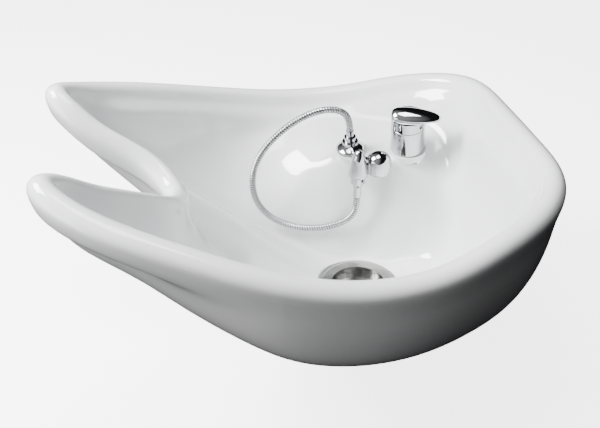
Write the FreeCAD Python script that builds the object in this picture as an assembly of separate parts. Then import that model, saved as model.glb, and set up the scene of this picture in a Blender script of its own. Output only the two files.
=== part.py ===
import FreeCAD, Part
import math
import os

# Salon backwash basin with its waste, lever mixer and hand shower.
# Millimetres, +Z up, +X from the neck notch to the back edge. The origin is the centre of the
# bracket bolt pattern on the underside, on the waste's axis.
Vec = FreeCAD.Vector

# Basin: half of the rim's centre line from the back to the notch, and the wall's foot below it
RIM = [(196, 0, 260), (196, 52, 260), (195, 104, 259), (182, 150, 255), (148, 188, 246), (96, 215, 233),
       (38, 233, 218), (-22, 241, 212), (-82, 240, 215), (-142, 232, 226), (-202, 216, 242),
       (-260, 196, 259), (-314, 173, 275), (-358, 144, 291), (-377, 116, 300), (-361, 92, 287),
       (-332, 75, 263), (-300, 62, 244), (-270, 48, 226), (-248, 26, 208), (-240, 0, 200)]
FOOT = [(104, 0, 38), (102, 27, 38), (97, 52, 38), (88, 73, 38), (70, 90, 38), (44, 102, 38),
        (14, 108, 38), (-20, 110, 38), (-62, 110, 42), (-110, 108, 58), (-160, 110, 92),
        (-220, 118, 140), (-275, 122, 188), (-318, 121, 226), (-336, 115, 243), (-318, 106, 226),
        (-280, 94, 192), (-236, 78, 152), (-196, 58, 116), (-166, 30, 92), (-156, 0, 84)]
BEAD_R = 15.0
LEDGE_WIDTH = 16.0
LEDGE_DROP = 16.0
FLUSH = (0.0, 0.0, 0.15, 0.45, 0.75, 0.95)
FLUSH_SHARE = {10: 0.8, 11: 0.5, 12: 0.25}
WALL = 13.0
FLOOR_Z = 31.0
FOOT_RING_R = 112.0
FOOT_RING_HOLLOW_R = 66.0
FOOT_RING_HOLLOW = 17.0

# Sloping tap deck on one side of the bowl
DECK_POINT = (92.0, 106.0, 185.0)
DECK_TILT = 10.0
DECK_LEAN = (-0.51, -0.86)
DECK_EDGE_R = 98.0
DECK_WALL_FOOT = 28.0
DECK_SHARE = {1: 0.1, 2: 0.4, 3: 0.8, 4: 1.0, 5: 1.0, 6: 1.0, 7: 1.0, 8: 0.8, 9: 0.4, 10: 0.1}
LAND_HEIGHT = 1.0
DECK_THICKNESS = 13.0

# Bracket inserts
BOLT_X = 150.0
BOLT_Y = 100.0
INSERT_R = 6.5
INSERT_BORE_R = 3.4
INSERT_DEPTH = 16.0

# Basket waste
FLANGE_R = 57.0
FLANGE_THICKNESS = 3.0
FLANGE_CLEARANCE = 1.0
CUP_R = 42.0
DRAIN_CLEARANCE = 3.0
DRAIN_HOLE_R = CUP_R + DRAIN_CLEARANCE
CUP_DEPTH = 38.0
SHEET = 2.0
TAIL_R = 20.95
TAIL_BORE_R = 17.5
TAIL_LENGTH = 42.0
WASTE_NUT_R = 56.0
WASTE_NUT_HEIGHT = 9.0
WASHER_THICKNESS = 2.5
BASKET_CLEARANCE = 1.0
BASKET_DEPTH = 26.0
BASKET_SHEET = 1.5
STRAINER_HOLE_R = 2.2
KNOB_R = 9.0
KNOB_HEIGHT = 9.0
STRAINER_POST_R = 4.0

# Lever mixer
MIXER_R = 24.0
MIXER_HEIGHT = 38.0
MIXER_WALL = 3.0
MIXER_FLOOR = 8.0
BASE_GASKET = 1.5
CARTRIDGE_NUT_BORE_R = 11.5
CARTRIDGE_HEIGHT = 22.0
STEM_R = 4.0
STEM_LENGTH = 9.0
CAP_GAP = 0.6
CAP_HEIGHT = 15.0
CAP_WALL = 2.5
LEVER_LENGTH = 40.0
LEVER_WIDTH = 32.0
LEVER_THICKNESS = 7.0
LEVER_AZIMUTH = -22.0
PLUG_R = 2.6
PLUG_LENGTH = 3.0
INLET_R = 4.5
INLET_SPREAD = 9.0
STUD_R = 3.9
STUD_OFFSET = 12.0
STUD_LENGTH = 46.0
STUD_NUT_R = 6.5
STUD_NUT_HEIGHT = 6.0
DECK_WASHER_R = 21.0
DECK_HOLE_R = 16.5

# Shower outlet
OUTLET_POINT = (13.0, 124.0)
DOME_R = 20.5
DOME_HEIGHT = 9.0
OUTLET_GASKET = 1.5
SHANK_R = 10.4
SHANK_BORE_R = 5.0
SHANK_LENGTH = 44.0
SHANK_TAIL_R = 9.5
SHANK_TAIL = 12.0
SHANK_TAPER = 1.4
OUTLET_HOLE_R = 11.5
OUTLET_NUT_R = 16.0
OUTLET_NUT_HEIGHT = 7.0
NIPPLE_R = 6.8
NIPPLE_HEIGHT = 15.0
NUT_R = 8.2
FERRULE_R = 5.6

# Hose and hand shower
HOSE_R = 5.0
HOSE_BORE_R = 3.2
HOSE_ROUTE = [(10.0, 118.9, 214.4), (8.05, 115.6, 236.1), (-9, 113, 251), (-37, 111, 253), (-70, 109, 241),
              (-103, 107, 217), (-126, 105, 187), (-134, 103, 153), (-128, 101, 119), (-107, 96, 93),
              (-76, 89, 80), (-43, 82, 78), (-14, 77, 85), (5, 73, 98), (12, 72, 115), (12, 72, 134)]
HANDSET_FERRULE_R = 5.6
HANDSET_FERRULE_LENGTH = 16.0
HOSE_NUT_R = 7.5
HOSE_NUT_HEIGHT = 17.0
BELL_R = 13.0
BELL_HEIGHT = 40.0
BELL_TOP_R = 6.0
NECK_R = 5.0
HEAD_R = 18.0
HEAD_HEIGHT = 32.0
HEAD_REACH = 29.0
HEAD_WALL = 2.0
FACE_HEIGHT = 5.0
PLATE_THICKNESS = 2.5
NOZZLE_R = 0.9
FORK_HEIGHT = 9.0
FORK_WALL = 3.0
FORK_CLEARANCE = 0.3
FORK_MOUTH = 11.6
ARM_WIDTH = 7.0
ARM_THICKNESS = 4.0
ARM_GAP = 3.0
RUN = 0.05

# Where the stacked pieces begin
HOSE_END = Vec(*HOSE_ROUTE[-1])
NUT_Z = HOSE_END.z + HANDSET_FERRULE_LENGTH
BELL_Z = NUT_Z + HOSE_NUT_HEIGHT
WASTE_NUT_TOP = FOOT_RING_HOLLOW - WASHER_THICKNESS
BODY_Z = BASE_GASKET
BODY_TOP = BODY_Z + MIXER_HEIGHT
CARTRIDGE_Z = BODY_Z + MIXER_FLOOR
CARTRIDGE_TOP = CARTRIDGE_Z + CARTRIDGE_HEIGHT
CAP_Z = BODY_TOP + CAP_GAP
LEVER_Z = CAP_Z + CAP_HEIGHT
DOME_TOP = OUTLET_GASKET + DOME_HEIGHT
NIPPLE_Z = DOME_TOP - 2.5


def deck_normal():
    lean = math.sin(math.radians(DECK_TILT)) / math.hypot(*DECK_LEAN)
    return Vec(DECK_LEAN[0] * lean, DECK_LEAN[1] * lean, math.cos(math.radians(DECK_TILT)))


def deck_height(x, y):
    n = deck_normal()
    return DECK_POINT[2] - (n.x * (x - DECK_POINT[0]) + n.y * (y - DECK_POINT[1])) / n.z


def on_deck(x, y):
    """Placement whose local Z is the deck's normal, on top of the raised land."""
    turn = FreeCAD.Rotation(Vec(0, 0, 1), deck_normal())
    return FreeCAD.Placement(Vec(x, y, deck_height(x, y)) + deck_normal() * LAND_HEIGHT, turn)


MIXER = on_deck(*DECK_POINT[:2])
OUTLET = on_deck(*OUTLET_POINT)


def cylinder(radius, height, z=0.0, x=0.0, y=0.0):
    return Part.makeCylinder(radius, height, Vec(x, y, z))


def ring(outer, inner, height, z=0.0, x=0.0, y=0.0):
    return cylinder(outer, height, z, x, y).cut(cylinder(inner, height, z, x, y))


def revolved(outline, x=0.0, y=0.0):
    """Solid turned about Z from a closed list of (radius, z), through straight edges."""
    points = [Vec(r, 0, z) for r, z in outline]
    face = Part.Face(Part.makePolygon(points + points[:1]))
    solid = face.revolve(Vec(0, 0, 0), Vec(0, 0, 1), 360)
    solid.translate(Vec(x, y, 0))
    return solid


def hexagon(radius, height, z=0.0, x=0.0, y=0.0):
    corners = [Vec(x + radius * math.cos(k * math.pi / 3), y + radius * math.sin(k * math.pi / 3), z)
               for k in range(7)]
    return Part.Face(Part.makePolygon(corners)).extrude(Vec(0, 0, height))


def placed(shape, placement):
    moved = shape.copy()
    moved.Placement = placement.multiply(moved.Placement)
    return moved


def write(name, shape):
    shape.exportStep(os.path.join("parts", name + ".step"))


def toward(start, end, share):
    return start + (end - start) * share


def wall_poles(rim, foot, ledge):
    """Inner poles from the foot to the ledge's edge: a bowl that steepens towards the rim."""
    inward = Vec(foot.x - rim.x, foot.y - rim.y, 0).normalize()
    edge = Vec(rim.x, rim.y, rim.z - LEDGE_DROP) + inward * (BEAD_R + ledge)
    shares = ((0.28, 0.05), (0.52, 0.17), (0.72, 0.36), (0.88, 0.60), (0.97, 0.82))
    poles = []
    for across, up in shares:
        flat = toward(foot, edge, across)
        poles.append(Vec(flat.x, flat.y, foot.z + (edge.z - foot.z) * up))
    return poles, edge, inward


def deck_poles(rim, foot, edge):
    """The same poles where the wall carries the tap deck: a steep wall, the deck, then a wall."""
    out = Vec(rim.x, rim.y, 0).normalize()
    reach = math.hypot(edge.x, edge.y) - 8.0
    radii = [DECK_EDGE_R - 11.0] + [toward(DECK_EDGE_R, reach, k / 3) for k in range(4)]
    poles = [out * radius for radius in radii]
    for pole in poles:
        pole.z = deck_height(pole.x, pole.y)
    poles[0].z = toward(foot.z, poles[0].z, 0.35)
    return poles


def offset_poles(poles, distance):
    """Poles moved to the outer face of the wall, square to their line in its upright plane."""
    moved = []
    for k, pole in enumerate(poles):
        along = poles[min(k + 1, len(poles) - 1)] - poles[max(k - 1, 0)]
        level = math.hypot(along.x, along.y)
        normal = Vec(along.x / level * along.z, along.y / level * along.z, -level).normalize()
        moved.append(pole + normal * distance)
    return moved


def rib(index, side):
    """Poles of one cross-section, from the drain over the rim and back under the floor."""
    rim = Vec(RIM[index][0], side * RIM[index][1], RIM[index][2])
    foot = Vec(FOOT[index][0], side * FOOT[index][1], FOOT[index][2])
    ledge = LEDGE_WIDTH if index < 13 else 0.0
    share = DECK_SHARE.get(index, 0.0) if side > 0 else 0.0
    deck_foot = Vec(rim.x, rim.y, 0).normalize() * (DECK_EDGE_R - DECK_WALL_FOOT) + Vec(0, 0, foot.z)
    foot = toward(foot, deck_foot, share)
    walls, edge, inward = wall_poles(rim, foot, ledge)
    if share:
        walls = [toward(a, b, share) for a, b in zip(walls, deck_poles(rim, foot, edge))]
    even = math.pi * index / (len(RIM) - 1)
    spread = (even + math.atan2(FOOT[index][1], FOOT[index][0])) / 2
    ray = Vec(math.cos(spread), side * math.sin(spread), 0)
    floor = [ray * (DRAIN_HOLE_R - 8) + Vec(0, 0, FLOOR_Z), ray * (FLANGE_R + 4) + Vec(0, 0, FLOOR_Z)]
    inner = floor + [foot] + walls
    up = Vec(0, 0, 1)
    bead = []
    for degrees in (195, 150, 105, 60, 15, -30):
        angle = math.radians(degrees)
        radius = BEAD_R * 1.1
        bead.append(rim - inward * (radius * math.cos(angle)) + up * (radius * math.sin(angle)))
    lip = [edge] if ledge else [edge + up * 4.0]
    under = rim + up * (-BEAD_R - 12.0) - inward * (BEAD_R - 5.0)
    flush = (1 - share) * (FLUSH_SHARE.get(index, 1.0) if index < 13 else 0.0)
    outer = []
    for pole, part in zip(offset_poles([foot] + walls, WALL), FLUSH):
        outer.append(toward(pole, Vec(under.x, under.y, pole.z), part * flush))
    base = [ray * FOOT_RING_R + up * 9.0, ray * (FOOT_RING_R - 8.0), ray * (FOOT_RING_R - 30.0)]
    base.append(ray * (DRAIN_HOLE_R - 8.0))
    return inner + lip + bead + [under] + outer[::-1] + base


def passing(rows):
    """Poles whose closed curve across the ribs passes through the ribs' own points."""
    poles = [list(row) for row in rows]
    count = len(rows)
    for _ in range(12):
        drawn = [[(poles[i - 1][j] + poles[i][j] * 4 + poles[(i + 1) % count][j]) * (1 / 6)
                  for j in range(len(rows[0]))] for i in range(count)]
        poles = [[poles[i][j] + (rows[i][j] - drawn[i][j]) for j in range(len(rows[0]))]
                 for i in range(count)]
    return poles


def basin_shell():
    last = len(RIM) - 1
    ribs = [rib(k, 1) for k in range(last + 1)] + [rib(k, -1) for k in range(last - 1, 0, -1)]
    poles = passing(ribs)
    rows, columns = len(poles), len(poles[0])
    surface = Part.BSplineSurface()
    surface.buildFromPolesMultsKnots(poles, [1] * (rows + 1), [1] * (columns + 1), list(range(rows + 1)),
                                     list(range(columns + 1)), True, True, 3, 3)
    faces = []
    for k in range(4):
        for j in range(2):
            patch = surface.copy()
            patch.segment(k * rows / 4, (k + 1) * rows / 4, j * columns / 2, (j + 1) * columns / 2)
            faces.append(patch.toShape())
    shell = Part.makeShell(faces)
    shell.sewShape()
    return Part.makeSolid(shell)


def basin():
    body = basin_shell()
    for spot, radius in ((MIXER, MIXER_R + 3.0), (OUTLET, DOME_R + 2.5)):
        body = body.fuse(placed(cylinder(radius, DECK_THICKNESS - 4.0, 4.0 - DECK_THICKNESS), spot))
        body = body.cut(placed(cylinder(radius, DECK_THICKNESS), spot))
    for spot, hole, seat in ((MIXER, DECK_HOLE_R, DECK_WASHER_R), (OUTLET, OUTLET_HOLE_R, OUTLET_NUT_R)):
        body = body.cut(placed(cylinder(hole, 80.0, -60.0), spot))
        body = body.cut(placed(cylinder(seat + 2.0, 40.0, -DECK_THICKNESS - 40.0), spot))
    body = body.cut(cylinder(DRAIN_HOLE_R, FLOOR_Z * 2))
    body = body.cut(cylinder(FLANGE_R + FLANGE_CLEARANCE, FLOOR_Z, FLOOR_Z))
    body = body.cut(cylinder(FOOT_RING_HOLLOW_R, FOOT_RING_HOLLOW))
    for x, y in bolt_places():
        body = body.cut(cylinder(INSERT_R, INSERT_DEPTH, 0, x, y))
    return body


def bolt_places():
    return [(sx * BOLT_X / 2, sy * BOLT_Y / 2) for sx in (-1, 1) for sy in (-1, 1)]


def mounting_inserts():
    return Part.makeCompound([ring(INSERT_R, INSERT_BORE_R, INSERT_DEPTH, 0, x, y) for x, y in bolt_places()])


def waste_body():
    cup = CUP_R - SHEET
    low = FLOOR_Z - CUP_DEPTH
    return revolved([(FLANGE_R, FLOOR_Z), (FLANGE_R, FLOOR_Z + 1.2), (FLANGE_R - 6, FLOOR_Z + FLANGE_THICKNESS),
                     (cup + 5, FLOOR_Z + FLANGE_THICKNESS), (cup, FLOOR_Z - 1), (cup, low + SHEET),
                     (TAIL_BORE_R, low - 5), (TAIL_BORE_R, low - TAIL_LENGTH), (TAIL_R, low - TAIL_LENGTH),
                     (TAIL_R, low - 7), (CUP_R, low), (CUP_R, FLOOR_Z)])


def waste_gasket():
    return ring(WASTE_NUT_R, CUP_R + RUN, WASHER_THICKNESS, WASTE_NUT_TOP)


def waste_backnut():
    nut = ring(WASTE_NUT_R - 2, CUP_R + RUN, WASTE_NUT_HEIGHT, WASTE_NUT_TOP - WASTE_NUT_HEIGHT)
    for k in range(6):
        lug = Part.makeBox(6, 10, WASTE_NUT_HEIGHT, Vec(WASTE_NUT_R - 6, -5, WASTE_NUT_TOP - WASTE_NUT_HEIGHT))
        lug.rotate(Vec(0, 0, 0), Vec(0, 0, 1), 60 * k)
        nut = nut.fuse(lug)
    return nut.removeSplitter()


def strainer_basket():
    wall = CUP_R - SHEET - BASKET_CLEARANCE
    top = FLOOR_Z + FLANGE_THICKNESS + BASKET_SHEET
    low = top - BASKET_DEPTH
    cup = revolved([(0, low), (wall - 6, low), (wall, low + 6), (wall, top - BASKET_SHEET),
                    (wall + 6.5, top - BASKET_SHEET), (wall + 6.5, top), (wall - BASKET_SHEET, top),
                    (wall - BASKET_SHEET, low + 6 + BASKET_SHEET), (wall - 7, low + BASKET_SHEET),
                    (0, low + BASKET_SHEET)])
    for radius, count in ((13.0, 8), (22.0, 14)):
        for k in range(count):
            turn = 2 * math.pi * k / count
            cup = cup.cut(cylinder(STRAINER_HOLE_R, 20, low - 9, radius * math.cos(turn), radius * math.sin(turn)))
    return cup


def strainer_knob():
    low = FLOOR_Z + FLANGE_THICKNESS + 2 * BASKET_SHEET - BASKET_DEPTH
    top = FLOOR_Z + FLANGE_THICKNESS
    return revolved([(0, low), (STRAINER_POST_R, low), (STRAINER_POST_R, top - KNOB_HEIGHT),
                     (KNOB_R, top - KNOB_HEIGHT + 1), (KNOB_R, top - 3), (KNOB_R - 3, top - 0.6), (0, top)])


def mixer_gasket():
    return placed(ring(MIXER_R - 1, DECK_HOLE_R, BASE_GASKET), MIXER)


def mixer_body():
    body = cylinder(MIXER_R, MIXER_HEIGHT, BODY_Z)
    body = body.makeFillet(1.0, [body.Edges[0]])
    body = body.cut(cylinder(MIXER_R - MIXER_WALL, MIXER_HEIGHT, CARTRIDGE_Z))
    for y in (-INLET_SPREAD, INLET_SPREAD):
        body = body.cut(cylinder(INLET_R, MIXER_FLOOR, BODY_Z, 0, y))
    body = body.cut(cylinder(INLET_R, MIXER_FLOOR, BODY_Z, -INLET_SPREAD, 0))
    body = body.cut(cylinder(STUD_R, MIXER_FLOOR - 2, BODY_Z, STUD_OFFSET, 0))
    return placed(body, MIXER)


def cartridge_body():
    return placed(cylinder(MIXER_R - MIXER_WALL - RUN, CARTRIDGE_HEIGHT, CARTRIDGE_Z), MIXER)


def cartridge_nut():
    height = BODY_TOP - CARTRIDGE_TOP - 1
    return placed(ring(MIXER_R - MIXER_WALL - RUN, CARTRIDGE_NUT_BORE_R, height, CARTRIDGE_TOP), MIXER)


def cartridge_stem():
    return placed(cylinder(STEM_R, CAP_Z + STEM_LENGTH - CARTRIDGE_TOP, CARTRIDGE_TOP), MIXER)


def plug_hole(start, length):
    turn = math.radians(LEVER_AZIMUTH - 38)
    out = Vec(math.cos(turn), math.sin(turn), 0)
    return Part.makeCylinder(PLUG_R, length, out * start + Vec(0, 0, CAP_Z + CAP_HEIGHT / 2), out)


def lever_cap():
    cap = cylinder(MIXER_R, CAP_HEIGHT, CAP_Z)
    cap = cap.cut(cylinder(MIXER_R - CAP_WALL, CAP_HEIGHT - CAP_WALL, CAP_Z))
    return placed(cap.cut(plug_hole(MIXER_R - CAP_WALL - 1, CAP_WALL + 2)), MIXER)


def index_plug():
    return placed(plug_hole(MIXER_R - CAP_WALL, PLUG_LENGTH - 0.8), MIXER)


def lever_blade():
    """Leaf-shaped low dome that covers the cap and reaches out over one side."""
    ball = Part.makeSphere(1.0)
    half = (LEVER_LENGTH + MIXER_R - 2) / 2
    stretch = FreeCAD.Matrix()
    stretch.scale(half, LEVER_WIDTH / 2 + 3, LEVER_THICKNESS + 3)
    dome = ball.transformGeometry(stretch)
    dome = dome.common(Part.makeBox(200, 200, 50, Vec(-100, -100, 0)))
    dome.translate(Vec(half - MIXER_R + 1, 0, LEVER_Z))
    dome.rotate(Vec(0, 0, 0), Vec(0, 0, 1), LEVER_AZIMUTH)
    return placed(dome, MIXER)


def mixer_stud():
    return placed(cylinder(STUD_R, STUD_LENGTH, BODY_Z + MIXER_FLOOR - 2 - STUD_LENGTH, STUD_OFFSET, 0), MIXER)


def mixer_washer():
    plate = cylinder(DECK_WASHER_R, WASHER_THICKNESS, -DECK_THICKNESS - WASHER_THICKNESS)
    plate = plate.cut(cylinder(STUD_R + RUN, 20, -DECK_THICKNESS - 10, STUD_OFFSET, 0))
    side = INLET_SPREAD + INLET_R + 1
    slot = Part.makeBox(40, 2 * side, 20, Vec(INLET_R + 1 - 40, -side, -30))
    return placed(plate.cut(slot), MIXER)


def mixer_stud_nut():
    low = -DECK_THICKNESS - WASHER_THICKNESS - STUD_NUT_HEIGHT
    nut = hexagon(STUD_NUT_R, STUD_NUT_HEIGHT, low, STUD_OFFSET, 0)
    return placed(nut.cut(cylinder(STUD_R + RUN, STUD_NUT_HEIGHT, low, STUD_OFFSET, 0)), MIXER)


def outlet_gasket():
    return placed(ring(DOME_R - 1, SHANK_R + RUN, OUTLET_GASKET), OUTLET)


def outlet_dome():
    dome = revolved([(SHANK_R + RUN, OUTLET_GASKET), (DOME_R, OUTLET_GASKET), (DOME_R, OUTLET_GASKET + 1.5),
                     (DOME_R - 2.5, OUTLET_GASKET + 4), (DOME_R - 7, OUTLET_GASKET + 7), (11, DOME_TOP),
                     (NIPPLE_R + RUN, DOME_TOP), (NIPPLE_R + RUN, NIPPLE_Z), (SHANK_R + RUN, NIPPLE_Z)])
    return placed(dome, OUTLET)


def outlet_shank():
    low = NIPPLE_Z - SHANK_LENGTH
    neck = low + SHANK_TAIL
    shank = revolved([(SHANK_BORE_R, low), (SHANK_TAIL_R, low), (SHANK_TAIL_R, neck),
                      (SHANK_R, neck + SHANK_TAPER), (SHANK_R, NIPPLE_Z), (SHANK_BORE_R, NIPPLE_Z)])
    return placed(shank, OUTLET)


def outlet_washer():
    return placed(ring(OUTLET_NUT_R, SHANK_R + RUN, WASHER_THICKNESS, -DECK_THICKNESS - WASHER_THICKNESS), OUTLET)


def outlet_backnut():
    low = -DECK_THICKNESS - WASHER_THICKNESS - OUTLET_NUT_HEIGHT
    nut = hexagon(OUTLET_NUT_R, OUTLET_NUT_HEIGHT, low)
    return placed(nut.cut(cylinder(SHANK_R + RUN, OUTLET_NUT_HEIGHT, low)), OUTLET)


def outlet_nipple():
    return placed(ring(NIPPLE_R, HOSE_BORE_R, NIPPLE_HEIGHT, NIPPLE_Z), OUTLET)


def collar_height():
    return DOME_TOP + FORK_HEIGHT / 2


def hose_outlet_nut():
    low = collar_height() + RUN
    return placed(ring(NUT_R, NIPPLE_R + RUN, NIPPLE_Z + NIPPLE_HEIGHT - low, low), OUTLET)


def hose_outlet_ferrule():
    low = NIPPLE_Z + NIPPLE_HEIGHT
    top = OUTLET.inverse().multVec(Vec(*HOSE_ROUTE[0])).z
    return placed(ring(FERRULE_R, HOSE_BORE_R, top - low, low), OUTLET)


def hose_path():
    """Straight runs joined by tangent arcs, each as large as its two runs allow."""
    points = [Vec(*p) for p in HOSE_ROUTE]
    edges = []
    start = points[0]
    for before, corner, after in zip(points, points[1:], points[2:]):
        back, ahead = (before - corner).normalize(), (after - corner).normalize()
        turn = math.pi - back.getAngle(ahead)
        reach = 0.45 * min(before.distanceToPoint(corner), corner.distanceToPoint(after))
        radius = reach / math.tan(turn / 2)
        print("hose radius", round(radius, 1), "turn", round(math.degrees(turn), 1))
        enter, leave = corner + back * reach, corner + ahead * reach
        middle = (back + ahead).normalize()
        crown = corner + middle * (radius / math.cos(turn / 2) - radius)
        edges.append(Part.LineSegment(start, enter).toShape())
        edges.append(Part.Arc(enter, crown, leave).toShape())
        start = leave
    edges.append(Part.LineSegment(start, points[-1]).toShape())
    return Part.Wire(edges)


def shower_hose():
    path = hose_path()
    first = Vec(*HOSE_ROUTE[1]) - Vec(*HOSE_ROUTE[0])
    circle = Part.Wire(Part.makeCircle(HOSE_R, Vec(*HOSE_ROUTE[0]), first))
    tube = path.makePipeShell([circle], True, False)
    print("hose length", round(path.Length, 1), "volume", tube.Volume / (math.pi * HOSE_R ** 2 * path.Length))
    return tube


def at_handset(shape):
    shape.translate(Vec(HOSE_END.x, HOSE_END.y, 0))
    return shape


def handset_ferrule():
    return at_handset(cylinder(HANDSET_FERRULE_R, HANDSET_FERRULE_LENGTH, HOSE_END.z))


def handset_hose_nut():
    return at_handset(revolved([(0, NUT_Z), (HOSE_NUT_R - 1.5, NUT_Z), (HOSE_NUT_R, NUT_Z + 4),
                                (HOSE_NUT_R, BELL_Z), (0, BELL_Z)]))


def handset_body():
    bell = revolved([(0, BELL_Z), (BELL_R - 2, BELL_Z), (BELL_R, BELL_Z + 2), (BELL_R - 0.5, BELL_Z + 9),
                     (BELL_R - 2.2, BELL_Z + 19), (BELL_R - 4.6, BELL_Z + 29), (BELL_TOP_R, BELL_Z + 36),
                     (BELL_TOP_R - 3, BELL_Z + BELL_HEIGHT), (0, BELL_Z + BELL_HEIGHT)])
    neck = Part.makeCylinder(NECK_R, HEAD_REACH - HEAD_R + 2, Vec(0, 0, BELL_Z + 24), Vec(1, 0, 0))
    return at_handset(bell.fuse(neck).cut(head_solid(0.0)).removeSplitter())


def head_solid(inset):
    low = BELL_Z + 4
    high = low + HEAD_HEIGHT
    r = HEAD_R - inset
    return revolved([(0, low), (r - 2, low), (r, low + 5), (r, low + 14), (r - 1.6, low + 20), (r - 5, low + 26),
                     (r - 10, high - 2.2 - inset), (0, high - inset)], HEAD_REACH)


def handset_head():
    low = BELL_Z + 4
    shell = head_solid(0.0).cut(head_solid(HEAD_WALL))
    return at_handset(shell.cut(cylinder(HEAD_R - HEAD_WALL, FACE_HEIGHT, low - 1, HEAD_REACH)))


def spray_face(radius):
    low = BELL_Z + 4
    return cylinder(radius, PLATE_THICKNESS, low + 0.5, HEAD_REACH)


def face_ring():
    outer = HEAD_R - HEAD_WALL - RUN
    return at_handset(spray_face(outer).cut(spray_face(outer - 3.0)))


def spray_plate():
    plate = spray_face(HEAD_R - HEAD_WALL - 3.0 - RUN * 2)
    for radius, count in ((4.0, 6), (9.0, 12)):
        for k in range(count):
            turn = 2 * math.pi * k / count
            x, y = HEAD_REACH + radius * math.cos(turn), radius * math.sin(turn)
            plate = plate.cut(cylinder(NOZZLE_R, 10, BELL_Z + 2, x, y))
    return at_handset(plate)


def shower_holder():
    """Collar on the outlet, an arm over the deck's edge and an open fork round the hose nut."""
    collar = placed(ring(NUT_R + FORK_WALL, NIPPLE_R + RUN, FORK_HEIGHT / 2, DOME_TOP), OUTLET)
    inner = HOSE_NUT_R + FORK_CLEARANCE
    low = BELL_Z - FORK_CLEARANCE - FORK_HEIGHT
    fork = ring(inner + FORK_WALL, inner, FORK_HEIGHT, low, HOSE_END.x, HOSE_END.y)
    mouth = Part.makeBox(FORK_MOUTH, 40, FORK_HEIGHT, Vec(HOSE_END.x - FORK_MOUTH / 2, HOSE_END.y - 40, low))
    back = HOSE_END.y + BELL_R + ARM_GAP
    top = OUTLET.multVec(Vec(0, 0, DOME_TOP + FORK_HEIGHT / 4)).z + ARM_THICKNESS / 2
    left = HOSE_END.x - ARM_WIDTH / 2
    reach = Part.makeBox(ARM_WIDTH, back + ARM_THICKNESS - HOSE_END.y - inner - 1, ARM_THICKNESS,
                         Vec(left, HOSE_END.y + inner + 1, low))
    post = Part.makeBox(ARM_WIDTH, ARM_THICKNESS, top - low, Vec(left, back, low))
    span = OUTLET.Base.y - back - NUT_R - 2.5
    bridge = Part.makeBox(ARM_WIDTH, span, ARM_THICKNESS, Vec(left, back, top - ARM_THICKNESS))
    holder = fork.cut(mouth).fuse([reach, post, bridge, collar])
    return holder.removeSplitter()


NODES = [basin, mounting_inserts, waste_body, waste_gasket, waste_backnut, strainer_basket, strainer_knob,
         mixer_gasket, mixer_body, cartridge_body, cartridge_nut, cartridge_stem, lever_cap, lever_blade,
         index_plug, mixer_stud, mixer_washer, mixer_stud_nut, outlet_gasket, outlet_dome, outlet_shank,
         outlet_washer, outlet_backnut, outlet_nipple, hose_outlet_nut, hose_outlet_ferrule, shower_hose,
         handset_ferrule, handset_hose_nut, handset_body, handset_head, face_ring, spray_plate, shower_holder]

os.makedirs("parts", exist_ok=True)
for make in NODES:
    write(make.__name__, make())
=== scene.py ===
import math

import bmesh
import bpy
from mathutils import Matrix, Vector


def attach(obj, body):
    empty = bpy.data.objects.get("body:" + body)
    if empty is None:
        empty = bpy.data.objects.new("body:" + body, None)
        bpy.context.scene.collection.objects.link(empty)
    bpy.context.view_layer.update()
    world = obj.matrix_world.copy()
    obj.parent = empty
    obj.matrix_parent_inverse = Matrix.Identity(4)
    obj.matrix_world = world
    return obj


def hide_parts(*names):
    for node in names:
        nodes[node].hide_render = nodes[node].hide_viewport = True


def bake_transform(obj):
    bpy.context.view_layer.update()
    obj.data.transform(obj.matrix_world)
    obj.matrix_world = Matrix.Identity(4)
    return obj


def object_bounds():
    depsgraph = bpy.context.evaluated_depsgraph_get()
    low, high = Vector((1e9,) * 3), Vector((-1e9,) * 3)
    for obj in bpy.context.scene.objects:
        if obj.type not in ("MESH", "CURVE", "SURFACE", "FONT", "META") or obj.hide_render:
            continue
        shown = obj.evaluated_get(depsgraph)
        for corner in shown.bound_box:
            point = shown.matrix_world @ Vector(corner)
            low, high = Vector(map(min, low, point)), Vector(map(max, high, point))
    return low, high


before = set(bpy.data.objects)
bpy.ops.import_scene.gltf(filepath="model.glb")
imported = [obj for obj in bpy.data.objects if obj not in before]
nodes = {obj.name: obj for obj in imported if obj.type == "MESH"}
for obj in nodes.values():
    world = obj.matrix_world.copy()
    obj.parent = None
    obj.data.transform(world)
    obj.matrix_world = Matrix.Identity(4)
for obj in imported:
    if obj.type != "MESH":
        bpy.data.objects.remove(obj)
cad_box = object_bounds()

# Lengths are in metres, places in the frame of the solids.

# Deck plane, and the seats of the mixer and the shower outlet on it
DECK_NORMAL = Vector((-0.08857, -0.14935, 0.98481))
LAND_HEIGHT = 0.001
MIXER_SPOT = Vector((0.092, 0.106, 0.185)) + DECK_NORMAL * LAND_HEIGHT
OUTLET_SPOT = Vector((0.013, 0.124, 0.180625)) + DECK_NORMAL * LAND_HEIGHT

# Lever leaf: heights above the mixer's seat, lengths from the mixer's axis
LEVER_AZIMUTH = math.radians(-22.0)
LEVER_BASE = 0.0549
LEVER_BACK = -0.0235
LEVER_LENGTH = 0.0685
LEVER_HALF_WIDTH = 0.0168
LEVER_CROWN = 0.0100
LEVER_DROOP = -0.0022
LEVER_SKIN = 0.0012
LEVER_EDGE = 0.0006
LEVER_UNDERSIDE = 0.0002
LEVER_ROWS = 28
LEVER_COLUMNS = 17
# Powers that set where the leaf is widest and highest, and how full it is there
WIDEST, WIDTH_FULLNESS, NARROWEST_SHARE = 0.78, 0.72, 0.03
HIGHEST, HEIGHT_FULLNESS = 0.72, 0.85
ARCH_FULLNESS = 0.75

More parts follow.
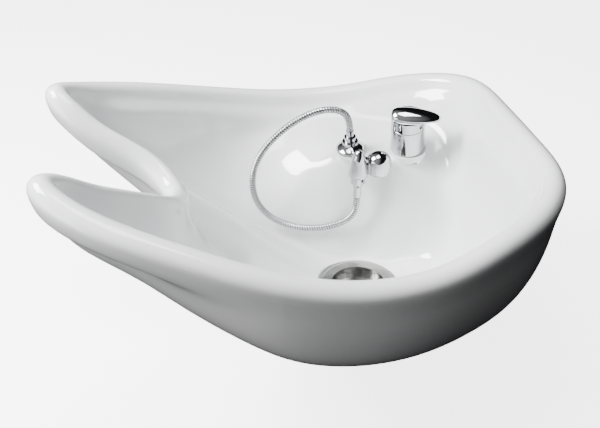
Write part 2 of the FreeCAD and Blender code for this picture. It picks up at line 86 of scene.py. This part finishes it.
# Hose: the route has the same points as in the solids
HOSE_ROUTE = [
    (0.0100, 0.1189, 0.2144), (0.00805, 0.1156, 0.2361), (-0.009, 0.113, 0.251), (-0.037, 0.111, 0.253),
    (-0.070, 0.109, 0.241), (-0.103, 0.107, 0.217), (-0.126, 0.105, 0.187), (-0.134, 0.103, 0.153),
    (-0.128, 0.101, 0.119), (-0.107, 0.096, 0.093), (-0.076, 0.089, 0.080), (-0.043, 0.082, 0.078),
    (-0.014, 0.077, 0.085), (0.005, 0.073, 0.098), (0.012, 0.072, 0.115), (0.012, 0.072, 0.134),
]
ROUTE_ORDER = 3
ROUTE_RESOLUTION = 24
HOSE_R = 0.005
HOSE_GROOVE = 0.0011
HOSE_PITCH = 0.0036
HOSE_SIDES = 24
RINGS_PER_TURN = 5
GROOVE_POWER = 1.6

# Turned pieces as (radius, height), both ends on the axis
HANDSET = Vector((0.012, 0.072, 0.0))
HEAD_REACH = 0.029
NECK_HEIGHT = 0.191
NECK_SIDES = 24
BELL = [
    (0, 0.1670), (0.0116, 0.1670), (0.0130, 0.1671), (0.0141, 0.1682), (0.0144, 0.1705), (0.0141, 0.1750),
    (0.0131, 0.1820), (0.0117, 0.1890), (0.0097, 0.1955), (0.0073, 0.2010), (0.0047, 0.2052), (0.0022, 0.2069),
    (0, 0.2070),
]
NECK = [(0, 0.0), (0.0045, 0.0), (0.0050, 0.0004), (0.0050, 0.0126), (0.0045, 0.0130), (0, 0.0130)]
HEAD = [
    (0, 0.1757), (0.0150, 0.1757), (0.0161, 0.1753), (0.0162, 0.1716), (0.0164, 0.1711), (0.0172, 0.1712),
    (0.0178, 0.1726), (0.0180, 0.1760), (0.0180, 0.1845), (0.0175, 0.1885), (0.0162, 0.1925), (0.0138, 0.1963),
    (0.0106, 0.1993), (0.0066, 0.2015), (0.0024, 0.2028), (0, 0.2029),
]
DOME = [
    (0, 0.0015), (0.0198, 0.0015), (0.0205, 0.0018), (0.0205, 0.0030), (0.0197, 0.0044), (0.0177, 0.0060),
    (0.0146, 0.0077), (0.0115, 0.0092), (0.0092, 0.0101), (0.0074, 0.0105), (0, 0.0105),
]
LATHE_SIDES = 48
SMOOTH_LEVELS, SMOOTH_RENDER_LEVELS = 1, 2

# Studio
FLOOR_SIZE = 40
FLOOR_GAP = 0.0005
FLOOR_GLOW = 4.0
WORLD_BRIGHT_SIDE = (-0.85, -0.20, 0.48)
WORLD_DARK = (0.03, 0.03, 0.033)
WORLD_LIGHT = (1, 1, 1)
WORLD_RAMP = (0.3, 0.8)
WORLD_STRENGTH = 0.44
BACKDROP = (10.0, 10.0, 10.0, 1)
# Colour sockets of the Mix node: its names repeat for each type of data
MIX_A, MIX_B, MIX_RESULT = 6, 7, 2
# Name, place, size and power of each lamp
LAMPS = [
    ("key", (-1.4, 0.15, 1.5), 0.8, 120.0),
    ("top", (-0.3, -0.1, 2.2), 0.9, 30.0),
    ("side", (-2.1, -0.75, 0.40), 1.2, 26.0),
]
LAMP_AIM = Vector((0, 0, 0.15))
CAMERA_SPOT = (-0.240, -0.863, 0.730)
CAMERA_AZIMUTH = math.radians(10.3)
CAMERA_ELEVATION = math.radians(33.0)
CAMERA_LENS = 48.0
CAMERA_SENSOR = 36.0


# Materials
PLAIN = (1, 1, 1)
LENGTHWISE = (1, 1, 0.05)
TINT_RAMP = (0.3, 0.7)
SMEAR_SCALE = 35.0
METAL_DEPTH = 0.0001
SOFT_DEPTH = 0.0003
GLAZE_DEPTH = 0.0004


def material(name, colour, roughness, metallic=0.0, **sockets):
    mat = bpy.data.materials.new(name)
    mat.use_nodes = True
    shader = principled(mat)
    shader.inputs["Base Color"].default_value = (*colour, 1)
    shader.inputs["Roughness"].default_value = roughness
    shader.inputs["Metallic"].default_value = metallic
    for key, value in sockets.items():
        shader.inputs[key.replace("_", " ")].default_value = value
    return mat


def principled(mat):
    return mat.node_tree.nodes["Principled BSDF"]


def add(mat, kind, **values):
    node = mat.node_tree.nodes.new(kind)
    for key, value in values.items():
        if key in node.inputs:
            node.inputs[key].default_value = value
        else:
            setattr(node, key, value)
    return node


def link(mat, a, b):
    mat.node_tree.links.new(a, b)


def noise(mat, scale, detail=4.0, stretch=PLAIN):
    place = add(mat, "ShaderNodeTexCoord")
    mapping = add(mat, "ShaderNodeMapping", Scale=stretch)
    texture = add(mat, "ShaderNodeTexNoise", Scale=scale, Detail=detail)
    link(mat, place.outputs["Object"], mapping.inputs["Vector"])
    link(mat, mapping.outputs["Vector"], texture.inputs["Vector"])
    return texture.outputs["Fac"]


def spread(mat, value, low, high):
    """A value of 0 to 1, taken to the range from low to high."""
    node = add(mat, "ShaderNodeMapRange")
    node.inputs["To Min"].default_value = low
    node.inputs["To Max"].default_value = high
    link(mat, value, node.inputs["Value"])
    return node.outputs["Result"]


def set_ramp(node, dark, light, stops):
    for element, colour, stop in zip(node.color_ramp.elements, (dark, light), stops):
        element.color = (*colour, 1)
        element.position = stop


def tint(mat, value, dark, light):
    node = add(mat, "ShaderNodeValToRGB")
    set_ramp(node, dark, light, TINT_RAMP)
    link(mat, value, node.inputs["Fac"])
    return node.outputs["Color"]


def finish(mat, colour, roughness, height, depth, strength):
    shader = principled(mat)
    link(mat, colour, shader.inputs["Base Color"])
    link(mat, roughness, shader.inputs["Roughness"])
    bump = add(mat, "ShaderNodeBump", Strength=strength, Distance=depth)
    link(mat, height, bump.inputs["Height"])
    link(mat, bump.outputs["Normal"], shader.inputs["Normal"])
    return mat


def metal(name, dark, light, roughness, grain_scale, stretch=PLAIN, strength=0.05):
    mat = material(name, light, roughness[0], 1.0)
    smear = noise(mat, SMEAR_SCALE)
    grain = noise(mat, grain_scale, 3.0, stretch)
    return finish(mat, tint(mat, smear, dark, light), spread(mat, smear, *roughness), grain,
                  METAL_DEPTH, strength)


def soft(name, dark, light, roughness, grain_scale, strength):
    mat = material(name, light, roughness[0])
    grain = noise(mat, grain_scale)
    return finish(mat, tint(mat, grain, dark, light), spread(mat, grain, *roughness), grain,
                  SOFT_DEPTH, strength)


def glazed():
    """White glaze under a clear coat, with a slight cloud and a slight orange peel."""
    mat = material("ceramic_glaze", (0.86, 0.87, 0.875), 0.1, Coat_Weight=0.6, Coat_Roughness=0.04)
    cloud = noise(mat, 7.0, 3.0)
    peel = noise(mat, 60.0, 2.0)
    return finish(mat, tint(mat, cloud, (0.845, 0.855, 0.86), (0.875, 0.88, 0.885)),
                  spread(mat, cloud, 0.07, 0.14), peel, GLAZE_DEPTH, 0.03)


def wound():
    """Hose metal: bright on the ridges, dull in the mesh's groove, and darkened nearly to black there by
    painted shade.
    """
    mat = material("hose_spiral", (0.56, 0.56, 0.57), 0.16, 1.0)
    groove = add(mat, "ShaderNodeAttribute", attribute_name="groove")
    grain = noise(mat, 700.0, 3.0)
    # Painted shade: the colour runs from the metal's grey to nearly black with the groove's depth
    return finish(mat, tint(mat, groove.outputs["Fac"], (0.66, 0.67, 0.68), (0.05, 0.05, 0.055)),
                  spread(mat, groove.outputs["Fac"], 0.12, 0.42), grain, METAL_DEPTH, 0.06)


CERAMIC = glazed()
CHROME = metal("chrome_plate", (0.50, 0.51, 0.52), (0.58, 0.59, 0.60), (0.03, 0.08), 300.0)
STEEL = metal("polished_steel", (0.26, 0.26, 0.25), (0.40, 0.40, 0.39), (0.12, 0.24), 900.0, LENGTHWISE, 0.12)
HOSE_METAL = wound()
BRASS = metal("cast_brass", (0.50, 0.36, 0.15), (0.66, 0.49, 0.22), (0.22, 0.38), 500.0, PLAIN, 0.15)
RUBBER = soft("black_rubber", (0.018, 0.018, 0.019), (0.035, 0.035, 0.036), (0.55, 0.75), 900.0, 0.3)
PLASTIC = soft("moulded_plastic", (0.30, 0.31, 0.32), (0.36, 0.37, 0.38), (0.32, 0.46), 1200.0, 0.15)
INDEX = soft("dark_index", (0.010, 0.010, 0.012), (0.03, 0.03, 0.035), (0.2, 0.35), 600.0, 0.1)

FINISHES = [
    (CERAMIC, ["basin"]),
    (CHROME, ["mixer_body", "lever_cap", "lever_blade", "outlet_dome", "hose_outlet_nut", "hose_outlet_ferrule",
              "handset_ferrule", "handset_hose_nut", "handset_body", "handset_head", "shower_holder",
              "outlet_nipple", "cartridge_nut"]),
    (STEEL, ["waste_body", "strainer_basket", "strainer_knob", "mixer_stud", "mixer_washer", "outlet_washer",
             "cartridge_stem"]),
    (BRASS, ["mounting_inserts", "outlet_shank", "outlet_backnut", "mixer_stud_nut"]),
    (RUBBER, ["waste_gasket", "mixer_gasket", "outlet_gasket"]),
    (PLASTIC, ["waste_backnut", "cartridge_body", "spray_plate", "face_ring"]),
    (INDEX, ["index_plug"]),
]
for finish_material, names in FINISHES:
    for name in names:
        nodes[name].data.materials.clear()
        nodes[name].data.materials.append(finish_material)


# Pieces
def in_scene(name, data):
    obj = bpy.data.objects.new(name, data)
    bpy.context.scene.collection.objects.link(obj)
    return obj


def mesh_data(name, mesh):
    data = bpy.data.meshes.new(name)
    mesh.to_mesh(data)
    mesh.free()
    return data


def piece(name, data, mat, body):
    obj = in_scene(name, data)
    data.materials.append(mat)
    data.shade_smooth()
    if body:
        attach(obj, body)
    return obj


def band(mesh, low, high):
    """Faces between two rings of as many points."""
    for k in range(len(low)):
        following = (k + 1) % len(low)
        mesh.faces.new((low[k], low[following], high[following], high[k]))


def hose_line():
    """Points along the route's smooth spline, in the spline's own uneven steps."""
    curve = bpy.data.curves.new("hose_line", "CURVE")
    curve.dimensions = "3D"
    spline = curve.splines.new("NURBS")
    spline.points.add(len(HOSE_ROUTE) - 1)
    for point, place in zip(spline.points, HOSE_ROUTE):
        point.co = (*place, 1)
    spline.order_u = ROUTE_ORDER
    spline.use_endpoint_u = True
    spline.resolution_u = ROUTE_RESOLUTION
    holder = in_scene("hose_line", curve)
    bpy.context.view_layer.update()
    evaluated = holder.evaluated_get(bpy.context.evaluated_depsgraph_get())
    mesh = bpy.data.meshes.new_from_object(evaluated)
    points = [v.co.copy() for v in mesh.vertices]
    bpy.data.objects.remove(holder)
    bpy.data.meshes.remove(mesh)
    return points


def evenly(points, step):
    """The same line in equal steps of about the given one, and its length."""
    total = sum((b - a).length for a, b in zip(points, points[1:]))
    count = round(total / step)
    spots, walked, wanted = [points[0]], 0.0, 1
    for a, b in zip(points, points[1:]):
        gap = (b - a).length
        while wanted < count and walked + gap >= wanted * total / count:
            spots.append(a.lerp(b, (wanted * total / count - walked) / gap))
            wanted += 1
        walked += gap
    return spots + [points[-1]], total


def hose():
    """Wound metal hose: a tube with a spiral groove, whose depth is also kept for the material's painted shade
    and roughness.
    """
    points, total = evenly(hose_line(), HOSE_PITCH / RINGS_PER_TURN)
    side = Vector((0, 1, 0))
    mesh = bmesh.new()
    rings = []
    depths = []
    for k, point in enumerate(points):
        ahead = (points[min(k + 1, len(points) - 1)] - points[max(k - 1, 0)]).normalized()
        side = (side - ahead * side.dot(ahead)).normalized()
        up = ahead.cross(side)
        ring = []
        for j in range(HOSE_SIDES):
            turn = 2 * math.pi * j / HOSE_SIDES
            wave = math.cos(2 * math.pi * k / RINGS_PER_TURN - turn)
            depths.append((0.5 - 0.5 * wave) ** GROOVE_POWER)
            radius = HOSE_R - HOSE_GROOVE * depths[-1]
            ring.append(mesh.verts.new(point + (side * math.cos(turn) + up * math.sin(turn)) * radius))
        rings.append(ring)
    for low, high in zip(rings, rings[1:]):
        band(mesh, low, high)
    mesh.faces.new(rings[0][::-1])
    mesh.faces.new(rings[-1])
    bmesh.ops.recalc_face_normals(mesh, faces=mesh.faces)
    data = mesh_data("hose", mesh)
    # Groove depth per point: the material paints shade and raises roughness by it
    data.attributes.new("groove", "FLOAT", "POINT").data.foreach_set("value", depths)
    obj = piece("hose", data, HOSE_METAL, None)
    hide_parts("shower_hose")
    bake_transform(obj)


def deck_matrix(spot, azimuth):
    turn = Vector((0, 0, 1)).rotation_difference(DECK_NORMAL).to_matrix().to_4x4()
    return Matrix.Translation(spot) @ turn @ Matrix.Rotation(azimuth, 4, "Z")


def lathe(name, profile, place, body, stands_for, sides=LATHE_SIDES):
    """Smooth chromed piece, turned from a profile."""
    mesh = bmesh.new()
    rings = []
    for radius, height in profile[1:-1]:
        rings.append([mesh.verts.new((radius * math.cos(2 * math.pi * k / sides),
                                      radius * math.sin(2 * math.pi * k / sides), height))
                      for k in range(sides)])
    for low, high in zip(rings, rings[1:]):
        band(mesh, low, high)
    for ring, (_, height) in ((rings[0], profile[0]), (rings[-1], profile[-1])):
        tip = mesh.verts.new((0, 0, height))
        for k in range(sides):
            mesh.faces.new((ring[k], ring[(k + 1) % sides], tip))
    bmesh.ops.recalc_face_normals(mesh, faces=mesh.faces)
    mesh.transform(place)
    obj = piece(name, mesh_data(name, mesh), CHROME, body)
    smooth = obj.modifiers.new("smooth", "SUBSURF")
    smooth.levels = SMOOTH_LEVELS
    smooth.render_levels = SMOOTH_RENDER_LEVELS
    if stands_for:
        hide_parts(stands_for)


def lever():
    """Leaf lever: a low crowned blade, round at the back, drawn to a soft point, flat below."""
    mesh = bmesh.new()
    last_row, last_column = LEVER_ROWS - 1, LEVER_COLUMNS - 1
    top, under = [], []
    for i in range(LEVER_ROWS):
        u = i / last_row
        x = LEVER_BACK + LEVER_LENGTH * (0.5 - 0.5 * math.cos(math.pi * u))
        half = LEVER_HALF_WIDTH * max(NARROWEST_SHARE, math.sin(math.pi * u ** WIDEST)) ** WIDTH_FULLNESS
        rise = LEVER_CROWN * max(0.0, math.sin(math.pi * u ** HIGHEST)) ** HEIGHT_FULLNESS
        base = LEVER_BASE + LEVER_DROOP * u ** 3
        upper, lower = [], []
        for j in range(LEVER_COLUMNS):
            v = -1 + 2 * j / last_column
            arch = (1 - v * v) ** ARCH_FULLNESS
            skin = LEVER_SKIN if 0 < j < last_column else LEVER_EDGE
            upper.append(mesh.verts.new((x, half * v, base + skin + rise * arch)))
            lower.append(mesh.verts.new((x, half * v, base + LEVER_UNDERSIDE)))
        top.append(upper)
        under.append(lower)
    for i in range(last_row):
        for j in range(last_column):
            mesh.faces.new((top[i][j], top[i + 1][j], top[i + 1][j + 1], top[i][j + 1]))
            mesh.faces.new((under[i][j], under[i][j + 1], under[i + 1][j + 1], under[i + 1][j]))
        for j in (0, last_column):
            mesh.faces.new((top[i][j], under[i][j], under[i + 1][j], top[i + 1][j]))
    for i in (0, last_row):
        for j in range(last_column):
            mesh.faces.new((top[i][j], top[i][j + 1], under[i][j + 1], under[i][j]))
    bmesh.ops.recalc_face_normals(mesh, faces=mesh.faces)
    mesh.transform(deck_matrix(MIXER_SPOT, LEVER_AZIMUTH))
    obj = piece("lever_leaf", mesh_data("lever_leaf", mesh), CHROME, "lever")
    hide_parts("lever_blade")


def handset():
    """Bell-shaped body, a short neck across and a turned head."""
    upright = Matrix.Translation(HANDSET)
    across = upright @ Matrix.Translation((0, 0, NECK_HEIGHT)) @ Matrix.Rotation(math.pi / 2, 4, "Y")
    beside = upright @ Matrix.Translation((HEAD_REACH, 0, 0))
    lathe("handset_bell", BELL, upright, "handset", "handset_body")
    lathe("handset_neck", NECK, across, "handset", None, NECK_SIDES)
    lathe("shower_head", HEAD, beside, "handset", "handset_head")


def outlet():
    lathe("outlet_cover", DOME, deck_matrix(OUTLET_SPOT, 0.0), "root", "outlet_dome")


lever()
handset()
outlet()
hose()


# Studio
def pale_floor():
    mesh = bmesh.new()
    bmesh.ops.create_grid(mesh, x_segments=1, y_segments=1, size=FLOOR_SIZE)
    floor = in_scene("floor", mesh_data("floor", mesh))
    floor.location = (0, 0, cad_box[0][2] - FLOOR_GAP)
    mat = soft("pale_floor", (0.86, 0.86, 0.86), (0.9, 0.9, 0.9), (0.7, 0.85), 3.0, 0.02)
    principled(mat).inputs["Emission Color"].default_value = (1, 1, 1, 1)
    principled(mat).inputs["Emission Strength"].default_value = FLOOR_GLOW
    floor.data.materials.append(mat)
    # The floor lights nothing, so the outer wall keeps the shade that it has in the photograph
    floor.visible_diffuse = False
    floor.visible_glossy = False


def studio_world():
    """Light from the upper left, dark on the other side; behind the part, as pale as the floor."""
    world = bpy.data.worlds.new("studio")
    bpy.context.scene.world = world
    world.use_nodes = True
    background = world.node_tree.nodes["Background"]
    place = add(world, "ShaderNodeTexCoord")
    dot = add(world, "ShaderNodeVectorMath", operation="DOT_PRODUCT")
    dot.inputs[1].default_value = WORLD_BRIGHT_SIDE
    shade = add(world, "ShaderNodeValToRGB")
    set_ramp(shade, WORLD_DARK, WORLD_LIGHT, WORLD_RAMP)
    link(world, place.outputs["Generated"], dot.inputs[0])
    link(world, dot.outputs["Value"], shade.inputs["Fac"])
    seen = add(world, "ShaderNodeLightPath")
    backdrop = add(world, "ShaderNodeMix", data_type="RGBA")
    backdrop.inputs[MIX_B].default_value = BACKDROP
    link(world, seen.outputs["Is Camera Ray"], backdrop.inputs["Factor"])
    link(world, shade.outputs["Color"], backdrop.inputs[MIX_A])
    link(world, backdrop.outputs[MIX_RESULT], background.inputs["Color"])
    background.inputs["Strength"].default_value = WORLD_STRENGTH


def lamps():
    for name, spot, size, power in LAMPS:
        lamp = bpy.data.lights.new(name, "AREA")
        lamp.size = size
        lamp.energy = power
        holder = in_scene(name, lamp)
        holder.location = spot
        holder.rotation_euler = (LAMP_AIM - Vector(spot)).to_track_quat("-Z", "Y").to_euler()


def camera():
    """The photograph's viewing angle."""
    level = math.cos(CAMERA_ELEVATION)
    forward = Vector((math.sin(CAMERA_AZIMUTH) * level, math.cos(CAMERA_AZIMUTH) * level,
                      -math.sin(CAMERA_ELEVATION)))
    data = bpy.data.cameras.new("camera")
    data.lens = CAMERA_LENS
    data.sensor_width = CAMERA_SENSOR
    data.sensor_fit = "HORIZONTAL"
    eye = in_scene("camera", data)
    eye.location = CAMERA_SPOT
    eye.rotation_euler = forward.to_track_quat("-Z", "Y").to_euler()
    bpy.context.scene.camera = eye


pale_floor()
studio_world()
lamps()
camera()
